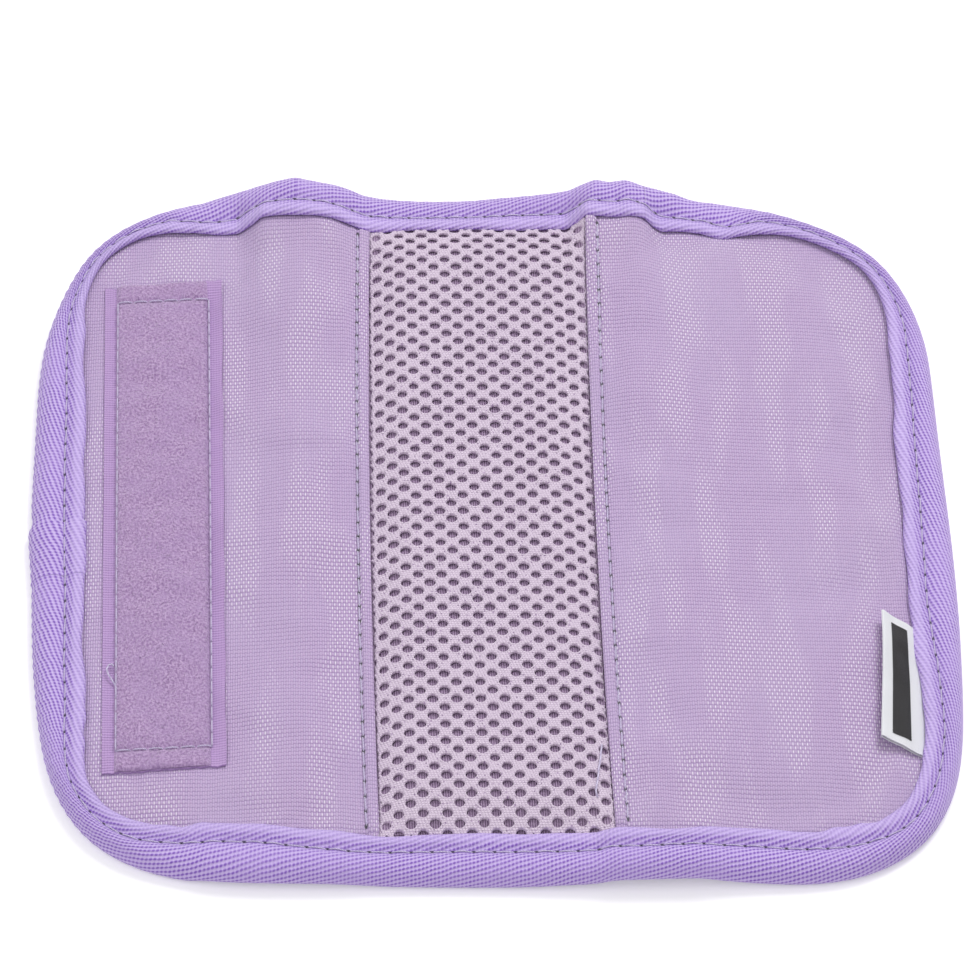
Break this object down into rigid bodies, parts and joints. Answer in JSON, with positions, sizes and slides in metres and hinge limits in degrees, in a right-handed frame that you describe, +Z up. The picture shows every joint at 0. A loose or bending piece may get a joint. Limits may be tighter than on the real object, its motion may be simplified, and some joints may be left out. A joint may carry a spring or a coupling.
{
  "type": "hook-and-loop wrap pad",
  "caption": "Padded fabric wrap laid open: mesh centre panel, two fold-over flaps, woven edge binding, hook-and-loop closure.",
  "frame": {"origin": "middle of the open pad's footprint, on the surface it lies on", "axes": "+X across the pad towards the flap with the hook tape, +Y along the folds towards the back edge, +Z up"},
  "size_m": [0.1902, 0.18, 0.0096],
  "materials": {
    "lining_cloth": "satin",
    "foam": "matte",
    "mesh_face": "matte",
    "mesh_yarn": "matte",
    "mesh_back": "matte",
    "binding_tape": "matte",
    "thread": "satin",
    "fastener_tape": "matte",
    "loop_pile": "matte",
    "hook_plastic": "satin",
    "label_cloth": "satin",
    "label_black": "matte"
  },
  "bodies": {
    "centre": {"shell_centre": "lining_cloth", "foam_centre": "foam", "mesh_ground": "mesh_back", "mesh_spacer": "mesh_yarn", "mesh_face": "mesh_face", "seam_welt_left": "lining_cloth", "seam_welt_right": "lining_cloth", "seam_stitches_left": "thread", "seam_stitches_right": "thread", "binding_back_centre": "binding_tape", "binding_front_centre": "binding_tape", "binding_stitches_centre": "thread"},
    "left_inner": {"shell_left_inner": "lining_cloth", "foam_left_inner": "foam", "lining_left_inner": "lining_cloth", "binding_left_inner": "binding_tape", "binding_stitches_left_inner": "thread"},
    "left_outer": {"shell_left_outer": "lining_cloth", "foam_left_outer": "foam", "lining_left_outer": "lining_cloth", "binding_left_end": "binding_tape", "binding_lap": "binding_tape", "binding_stitches_left_end": "thread", "loop_tape": "fastener_tape", "loop_pile": "loop_pile", "loop_tape_stitches": "thread"},
    "right_inner": {"shell_right_inner": "lining_cloth", "foam_right_inner": "foam", "lining_right_inner": "lining_cloth", "binding_right_inner": "binding_tape", "binding_stitches_right_inner": "thread"},
    "right_outer": {"shell_right_outer": "lining_cloth", "foam_right_outer": "foam", "lining_right_outer": "lining_cloth", "binding_right_end": "binding_tape", "binding_stitches_right_end": "thread", "hook_tape": "fastener_tape", "hook_field": "hook_plastic", "hook_tape_stitches": "thread", "label": "label_cloth", "label_patch": "label_black"}
  },
  "joints": [
    {"name": "left_seam_fold", "type": "hinge", "parent": "centre", "child": "left_inner", "pos_m": [-0.0269, 0, 0.0055], "axis": [0, 1, 0], "range_deg": [0, 90]},
    {"name": "left_wrap_fold", "type": "hinge", "parent": "left_inner", "child": "left_outer", "pos_m": [-0.0537, 0, 0.0049], "axis": [0, 1, 0], "range_deg": [0, 90]},
    {"name": "right_seam_fold", "type": "hinge", "parent": "centre", "child": "right_inner", "pos_m": [0.0258, 0, 0.0055], "axis": [0, -1, 0], "range_deg": [0, 90]},
    {"name": "right_wrap_fold", "type": "hinge", "parent": "right_inner", "child": "right_outer", "pos_m": [0.0463, 0, 0.0049], "axis": [0, -1, 0], "range_deg": [0, 90]}
  ]
}
